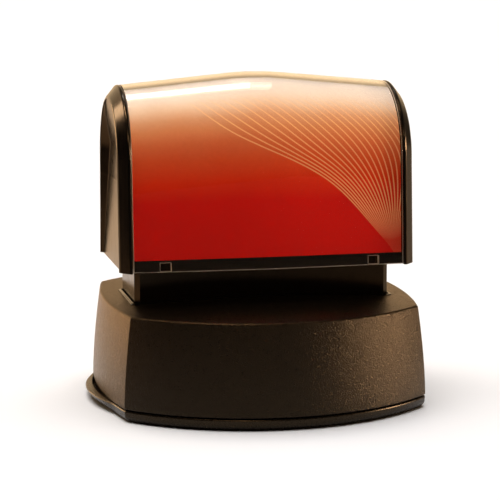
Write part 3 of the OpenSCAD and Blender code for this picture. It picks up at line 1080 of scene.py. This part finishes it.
def studio_floor():
    """Pale floor, dark in front of the picture, so that the stamp's front mirrors a dark room; the dark
    front, the warm tan far left and the dim brown right are painted light and shade for the stamp to
    mirror.
    """
    mesh = bpy.data.meshes.new("floor")
    corners = [(-FLOOR_HALF, -FLOOR_HALF, 0), (FLOOR_HALF, -FLOOR_HALF, 0)]
    corners += [(-x, -y, z) for x, y, z in corners]
    mesh.from_pydata(corners, [], [(0, 1, 2, 3)])
    floor = bpy.data.objects.new("floor", mesh)
    scene.collection.objects.link(floor)
    look = Look("pale floor")
    x, y, _ = look.split(look.place())
    # The painted shade reaches further back on the left; the floor is painted tan far to the left as warm
    # light, and brown to the right as dim shade
    lit = look.spread(look.math("MULTIPLY_ADD", x, 0.5, y), -0.15, -0.108)
    tan = look.spread(look.math("MULTIPLY_ADD", y, -0.087, x), -0.054, -0.075)
    right_dim_shade = look.spread(look.math("MULTIPLY_ADD", y, -0.35, x), 0.06, 0.1)
    pale = look.mix(tan, (0.92, 0.93, 0.95, 1), (0.85, 0.6, 0.38, 1))
    pale = look.mix(right_dim_shade, pale, (0.42, 0.32, 0.22, 1))
    # The front of the floor is painted almost black: painted shade for the stamp's front to mirror
    look.set(Base_Color=look.mix(lit, (0.03, 0.026, 0.022, 1), pale), Roughness=0.8,
             Specular_IOR_Level=0.1)
    mesh.materials.append(look.material)


def gloss_light(name, place, aim_z, width, height, power, colour):
    """Rectangular light, aimed at a height on the part's axis, that lights no dull surface."""
    data = bpy.data.lights.new(name, "AREA")
    data.shape = "RECTANGLE"
    data.size, data.size_y = width, height
    data.energy = power
    data.color = colour
    light = bpy.data.objects.new(name, data)
    scene.collection.objects.link(light)
    light.location = place
    light.rotation_mode = "QUATERNION"
    light.rotation_quaternion = (Vector((0, 0, aim_z)) - Vector(place)).to_track_quat("-Z", "Y")
    light.visible_diffuse = False
    light.visible_camera = False


def studio_room():
    """Warm surroundings: bright low down behind, most of all to the left, and almost black elsewhere."""
    world = bpy.data.worlds.new("studio")
    scene.world = world
    world.use_nodes = True
    room = Nodes(world.node_tree)
    x, y, z = room.split(room.node("ShaderNodeTexCoord").outputs["Generated"])
    behind = room.spread(y, 0.3, 0.8)
    bright = room.math("MULTIPLY", behind, room.spread(x, 0.4, 0.75, 1.0, 0.15))
    bright = room.math("MULTIPLY", bright, room.spread(z, 0.3, 0.6, 1.0, 0.15))
    bright = room.math("MULTIPLY", bright, room.spread(x, -0.5, -0.25, 2.4, 1.0))
    back = room.tree.nodes["Background"]
    room.feed(back.inputs["Color"], room.mix(bright, (0.006, 0.004, 0.003, 1), (0.5, 0.35, 0.2, 1)))
    back.inputs["Strength"].default_value = 2.4


def overhead_light():
    """Broad, even light from above that leaves no highlight."""
    sun = bpy.data.lights.new("overhead light", "SUN")
    sun.energy = 3.55
    sun.color = (1.0, 0.965, 0.94)
    sun.angle = math.radians(60)
    lamp = bpy.data.objects.new("overhead light", sun)
    lamp.visible_glossy = False
    lamp.visible_transmission = False
    scene.collection.objects.link(lamp)
    lamp.rotation_mode = "QUATERNION"
    lamp.rotation_quaternion = Vector((0.05, -0.12, -1)).to_track_quat("-Z", "Y")


def studio_light():
    """The room, the overhead light and the lights that make the highlights."""
    studio_room()
    overhead_light()
    # Name, place, height aimed at, width, height, power and colour
    gloss_light("back softbox", (0.05, 0.38, 0.82), 0.05, 0.2, 0.11, 0.45, PALE_WARM)
    gloss_light("back softbox surround", (0.04, 0.372, 0.83), 0.05, 0.34, 0.2, 0.4, CREAM)
    gloss_light("edge lamp", (-0.26, -0.07, 0.88), 0.03, 0.34, 0.14, 5.5, WARM)
    gloss_light("left panel", (-0.6, 0.82, 0.06), 0.02, 0.4, 0.2, 2.4, DEEP_WARM)
    gloss_light("right softbox", (0.6, -0.14, 0.12), 0.03, 0.13, 0.12, 5.5, WARM)
    gloss_light("left lamp", (-0.75, 0.5, 0.47), 0.05, 0.26, 0.2, 2, WARM)
    gloss_light("front key", (-0.22, -0.85, 0.7), 0.03, 0.2, 0.2, 2.2, WARM)


def camera():
    """The view: lens, aim and roll, with the small shift that the framing needs."""
    data = bpy.data.cameras.new("camera")
    data.sensor_width = 36
    data.lens = 143.41
    data.shift_x, data.shift_y = -0.0076, -0.0264
    data.clip_start, data.clip_end = 0.01, 50
    cam = bpy.data.objects.new("camera", data)
    scene.collection.objects.link(cam)
    level = math.cos(CAMERA_RISE)
    back = Vector((math.sin(CAMERA_TURN) * level, -math.cos(CAMERA_TURN) * level, math.sin(CAMERA_RISE)))
    cam.location = CAMERA_AIM + back * CAMERA_DISTANCE
    cam.rotation_mode = "QUATERNION"
    turn = (-back).to_track_quat("-Z", "Y")
    cam.rotation_quaternion = turn @ Matrix.Rotation(CAMERA_ROLL, 3, "Z").to_quaternion()
    scene.camera = cam


studio_floor()
studio_light()
camera()
scene.view_settings.view_transform = "Standard"
